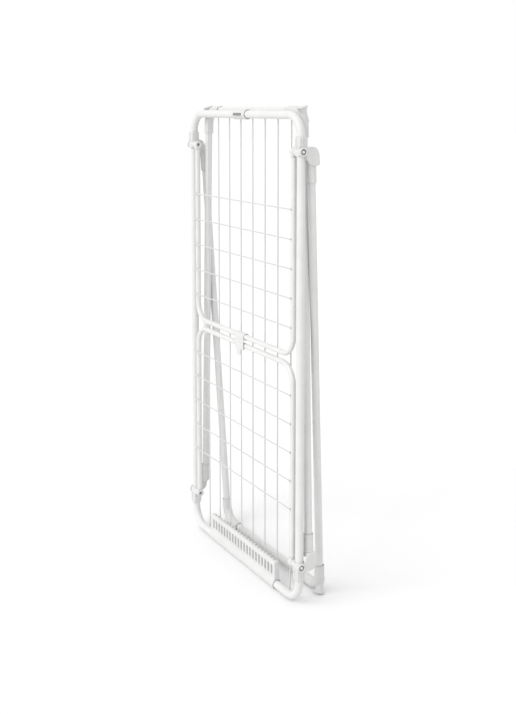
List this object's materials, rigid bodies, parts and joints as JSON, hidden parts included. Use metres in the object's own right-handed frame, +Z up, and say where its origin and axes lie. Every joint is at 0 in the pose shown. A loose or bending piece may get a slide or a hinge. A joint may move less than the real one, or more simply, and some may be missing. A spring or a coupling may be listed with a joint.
{
  "type": "folding clothes airer",
  "caption": "Free-standing folding clothes airer with a wired deck, fold-out wings, fold-out legs and a lock clip, shown folded flat and standing on its end.",
  "frame": {"origin": "under the middle of the bounding box, on the floor the folded airer stands on", "axes": "+Z up along the long sides of the folded airer, +X across it from its left side to its right, +Y from its front, where the wings are, to its rear, where the legs are"},
  "size_m": [0.57, 0.107, 1.1349],
  "materials": {
    "main_frame": "white powder coat, semi-gloss",
    "frame_joint_plug": "zinc plated",
    "deck_wire_1": "white powder coat, semi-gloss",
    "deck_wire_2": "white powder coat, semi-gloss",
    "deck_wire_3": "white powder coat, semi-gloss",
    "deck_wire_4": "white powder coat, semi-gloss",
    "deck_wire_5": "white powder coat, semi-gloss",
    "deck_wire_6": "white powder coat, semi-gloss",
    "deck_wire_7": "white powder coat, semi-gloss",
    "deck_wire_8": "white powder coat, semi-gloss",
    "upper_bracket_left": "white moulded plastic",
    "upper_bracket_right": "white moulded plastic",
    "lower_bracket_left": "white moulded plastic",
    "lower_bracket_right": "white moulded plastic",
    "upper_pin_left": "zinc plated",
    "upper_pin_right": "zinc plated",
    "lower_pin_left": "zinc plated",
    "lower_pin_right": "zinc plated",
    "small_item_comb": "white moulded plastic",
    "leg_catch": "white moulded plastic",
    "blank_badge": "dark grey, blank",
    "leg_a_tube": "white powder coat, semi-gloss",
    "leg_a_hinge_left": "white moulded plastic",
    "leg_a_hinge_right": "white moulded plastic",
    "leg_a_foot_left": "white moulded plastic",
    "leg_a_foot_right": "white moulded plastic",
    "leg_b_tube": "white powder coat, semi-gloss",
    "leg_b_hinge_left": "white moulded plastic",
    "leg_b_hinge_right": "white moulded plastic",
    "leg_b_foot_left": "white moulded plastic",
    "leg_b_foot_right": "white moulded plastic",
    "wing_upper_tube": "white powder coat, semi-gloss",
    "wing_upper_rail_1": "white powder coat, semi-gloss",
    "wing_upper_rail_2": "white powder coat, semi-gloss",
    "wing_upper_rail_3": "white powder coat, semi-gloss",
    "wing_upper_rail_4": "white powder coat, semi-gloss",
    "wing_upper_rail_5": "white powder coat, semi-gloss",
    "wing_upper_eye_left": "white moulded plastic",
    "wing_upper_eye_right": "white moulded plastic",
    "wing_lower_tube": "white powder coat, semi-gloss",
    "wing_lower_rail_1": "white powder coat, semi-gloss",
    "wing_lower_rail_2": "white powder coat, semi-gloss",
    "wing_lower_rail_3": "white powder coat, semi-gloss",
    "wing_lower_rail_4": "white powder coat, semi-gloss",
    "wing_lower_rail_5": "white powder coat, semi-gloss",
    "wing_lower_eye_left": "white moulded plastic",
    "wing_lower_eye_right": "white moulded plastic",
    "lock_clip": "white moulded plastic"
  },
  "bodies": {
    "frame": {"main_frame": "main_frame", "frame_joint_plug": "frame_joint_plug", "deck_wire_1": "deck_wire_1", "deck_wire_2": "deck_wire_2", "deck_wire_3": "deck_wire_3", "deck_wire_4": "deck_wire_4", "deck_wire_5": "deck_wire_5", "deck_wire_6": "deck_wire_6", "deck_wire_7": "deck_wire_7", "deck_wire_8": "deck_wire_8", "upper_bracket_left": "upper_bracket_left", "upper_bracket_right": "upper_bracket_right", "lower_bracket_left": "lower_bracket_left", "lower_bracket_right": "lower_bracket_right", "upper_pin_left": "upper_pin_left", "upper_pin_right": "upper_pin_right", "lower_pin_left": "lower_pin_left", "lower_pin_right": "lower_pin_right", "small_item_comb": "small_item_comb", "leg_catch": "leg_catch", "blank_badge": "blank_badge"},
    "leg_a": {"leg_a_tube": "leg_a_tube", "leg_a_hinge_left": "leg_a_hinge_left", "leg_a_hinge_right": "leg_a_hinge_right", "leg_a_foot_left": "leg_a_foot_left", "leg_a_foot_right": "leg_a_foot_right"},
    "leg_b": {"leg_b_tube": "leg_b_tube", "leg_b_hinge_left": "leg_b_hinge_left", "leg_b_hinge_right": "leg_b_hinge_right", "leg_b_foot_left": "leg_b_foot_left", "leg_b_foot_right": "leg_b_foot_right"},
    "wing_upper": {"wing_upper_tube": "wing_upper_tube", "wing_upper_rail_1": "wing_upper_rail_1", "wing_upper_rail_2": "wing_upper_rail_2", "wing_upper_rail_3": "wing_upper_rail_3", "wing_upper_rail_4": "wing_upper_rail_4", "wing_upper_rail_5": "wing_upper_rail_5", "wing_upper_eye_left": "wing_upper_eye_left", "wing_upper_eye_right": "wing_upper_eye_right"},
    "wing_lower": {"wing_lower_tube": "wing_lower_tube", "wing_lower_rail_1": "wing_lower_rail_1", "wing_lower_rail_2": "wing_lower_rail_2", "wing_lower_rail_3": "wing_lower_rail_3", "wing_lower_rail_4": "wing_lower_rail_4", "wing_lower_rail_5": "wing_lower_rail_5", "wing_lower_eye_left": "wing_lower_eye_left", "wing_lower_eye_right": "wing_lower_eye_right"},
    "lock_clip": {"lock_clip": "lock_clip"}
  },
  "joints": [
    {"name": "leg_a_hinge", "type": "hinge", "parent": "frame", "child": "leg_a", "pos_m": [0, -0.04187, 1.0333], "axis": [1, 0, 0], "range_deg": [0, 104.62]},
    {"name": "leg_b_hinge", "type": "hinge", "parent": "frame", "child": "leg_b", "pos_m": [0, -0.04187, 0.0983], "axis": [-1, 0, 0], "range_deg": [0, 107.5]},
    {"name": "wing_upper_hinge", "type": "hinge", "parent": "frame", "child": "wing_upper", "pos_m": [0, -0.04187, 1.0333], "axis": [-1, 0, 0], "range_deg": [0, 168]},
    {"name": "wing_lower_hinge", "type": "hinge", "parent": "frame", "child": "wing_lower", "pos_m": [0, -0.04187, 0.0983], "axis": [1, 0, 0], "range_deg": [0, 168]},
    {"name": "lock_clip_turn", "type": "hinge", "parent": "wing_upper", "child": "lock_clip", "pos_m": [0, -0.04187, 0.5768], "axis": [-1, 0, 0], "range_deg": [0, 60]}
  ]
}
